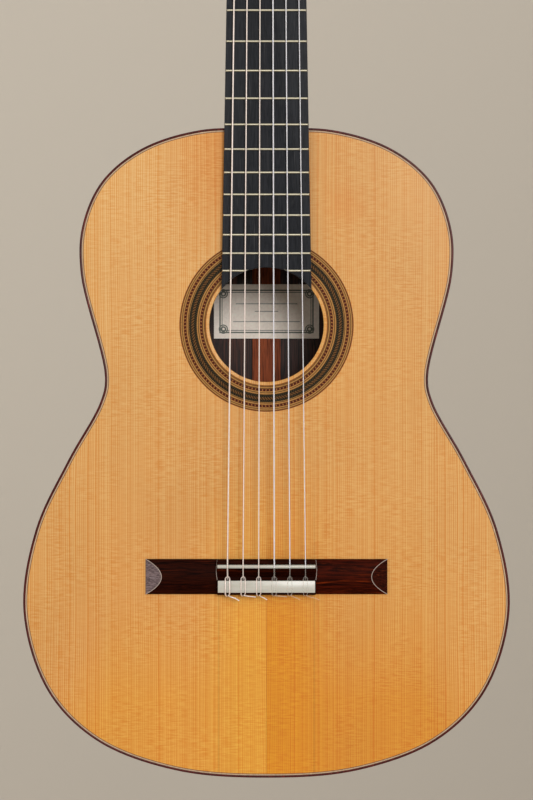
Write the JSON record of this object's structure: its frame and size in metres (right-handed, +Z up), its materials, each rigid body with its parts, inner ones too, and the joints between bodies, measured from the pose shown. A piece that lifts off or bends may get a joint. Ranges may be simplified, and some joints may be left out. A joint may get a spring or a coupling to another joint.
{
  "type": "classical guitar",
  "caption": "Full-size classical guitar with a slotted head, geared tuning machines, nylon strings, a marquetry rosette and a tie-block bridge.",
  "frame": {"origin": "the seat of a wall hanger: on the centre line, 10 mm behind the soundboard's plane, level with the rear edge of the nut, where a padded yoke holds the guitar under its head", "axes": "+Z runs up the neck, parallel to the soundboard; +Y points out of the back, so the soundboard and strings face -Y; +X is the treble side"},
  "size_m": [0.361, 0.1119, 0.9952],
  "materials": {
    "spruce": "clear gloss over golden spruce",
    "rosewood": "gloss",
    "cedar": "satin",
    "marquetry": "gloss",
    "ebony": "oiled satin",
    "bone": "polished bone",
    "paper": "printed paper",
    "brass": "polished",
    "roller_plastic": "white plastic",
    "pearloid": "pearloid",
    "nylon": "clear nylon",
    "silver_wound": "silver-plated winding"
  },
  "bodies": {
    "guitar": {"soundboard_bass_half": "spruce", "soundboard_treble_half": "spruce", "rosette": "marquetry", "soundhole_doubler": "spruce", "upper_harmonic_bar": "spruce", "lower_harmonic_bar": "spruce", "fan_bracing": "spruce", "side_bass": "rosewood", "side_treble": "rosewood", "back_bass_half": "rosewood", "back_treble_half": "rosewood", "back_bracing": "cedar", "end_graft": "rosewood", "tail_block": "cedar", "top_binding": "rosewood", "back_binding": "rosewood", "top_lining": "cedar", "back_lining": "cedar", "label": "paper", "neck": "cedar", "heel_cap": "rosewood", "fingerboard": "ebony", "nut": "bone", "bridge": "rosewood", "saddle": "bone", "tie_block_bone": "cedar", "string_6": "silver_wound", "string_5": "silver_wound", "string_4": "silver_wound", "string_3": "nylon", "string_2": "nylon", "string_1": "nylon", "headstock": "cedar", "head_veneer": "rosewood", "tuner_plate_bass": "brass", "tuner_plate_treble": "brass"},
    "worm_1": {"worm_shaft_1": "brass", "button_1": "pearloid"},
    "drum_1": {"roller_1": "roller_plastic", "gear_1": "brass"},
    "worm_2": {"worm_shaft_2": "brass", "button_2": "pearloid"},
    "drum_2": {"roller_2": "roller_plastic", "gear_2": "brass"},
    "worm_3": {"worm_shaft_3": "brass", "button_3": "pearloid"},
    "drum_3": {"roller_3": "roller_plastic", "gear_3": "brass"},
    "worm_4": {"worm_shaft_4": "brass", "button_4": "pearloid"},
    "drum_4": {"roller_4": "roller_plastic", "gear_4": "brass"},
    "worm_5": {"worm_shaft_5": "brass", "button_5": "pearloid"},
    "drum_5": {"roller_5": "roller_plastic", "gear_5": "brass"},
    "worm_6": {"worm_shaft_6": "brass", "button_6": "pearloid"},
    "drum_6": {"roller_6": "roller_plastic", "gear_6": "brass"}
  },
  "joints": [
    {"name": "button_turn_1", "type": "hinge", "parent": "guitar", "child": "worm_1", "pos_m": [0.0409, -0.00254, 0.03838], "axis": [0, 0.9816, -0.1908], "continuous": true},
    {"name": "roller_turn_1", "type": "hinge", "parent": "guitar", "child": "drum_1", "pos_m": [0, 0.0078, 0.04442], "axis": [1, 0, 0], "continuous": true},
    {"name": "button_turn_2", "type": "hinge", "parent": "guitar", "child": "worm_2", "pos_m": [0.0409, 0.00414, 0.07274], "axis": [0, 0.9816, -0.1908], "continuous": true},
    {"name": "roller_turn_2", "type": "hinge", "parent": "guitar", "child": "drum_2", "pos_m": [0, 0.01448, 0.07878], "axis": [1, 0, 0], "continuous": true},
    {"name": "button_turn_3", "type": "hinge", "parent": "guitar", "child": "worm_3", "pos_m": [0.0409, 0.01082, 0.1071], "axis": [0, 0.9816, -0.1908], "continuous": true},
    {"name": "roller_turn_3", "type": "hinge", "parent": "guitar", "child": "drum_3", "pos_m": [0, 0.02116, 0.11313], "axis": [1, 0, 0], "continuous": true},
    {"name": "button_turn_4", "type": "hinge", "parent": "guitar", "child": "worm_4", "pos_m": [-0.0409, 0.01082, 0.1071], "axis": [0, 0.9816, -0.1908], "continuous": true},
    {"name": "roller_turn_4", "type": "hinge", "parent": "guitar", "child": "drum_4", "pos_m": [0, 0.02116, 0.11313], "axis": [1, 0, 0], "continuous": true},
    {"name": "button_turn_5", "type": "hinge", "parent": "guitar", "child": "worm_5", "pos_m": [-0.0409, 0.00414, 0.07274], "axis": [0, 0.9816, -0.1908], "continuous": true},
    {"name": "roller_turn_5", "type": "hinge", "parent": "guitar", "child": "drum_5", "pos_m": [0, 0.01448, 0.07878], "axis": [1, 0, 0], "continuous": true},
    {"name": "button_turn_6", "type": "hinge", "parent": "guitar", "child": "worm_6", "pos_m": [-0.0409, -0.00254, 0.03838], "axis": [0, 0.9816, -0.1908], "continuous": true},
    {"name": "roller_turn_6", "type": "hinge", "parent": "guitar", "child": "drum_6", "pos_m": [0, 0.0078, 0.04442], "axis": [1, 0, 0], "continuous": true}
  ],
  "couplings": [
    {"joint": "roller_turn_1", "follows": "button_turn_1", "ratio": -0.071429},
    {"joint": "roller_turn_2", "follows": "button_turn_2", "ratio": -0.071429},
    {"joint": "roller_turn_3", "follows": "button_turn_3", "ratio": -0.071429},
    {"joint": "roller_turn_4", "follows": "button_turn_4", "ratio": -0.071429},
    {"joint": "roller_turn_5", "follows": "button_turn_5", "ratio": -0.071429},
    {"joint": "roller_turn_6", "follows": "button_turn_6", "ratio": -0.071429}
  ]
}
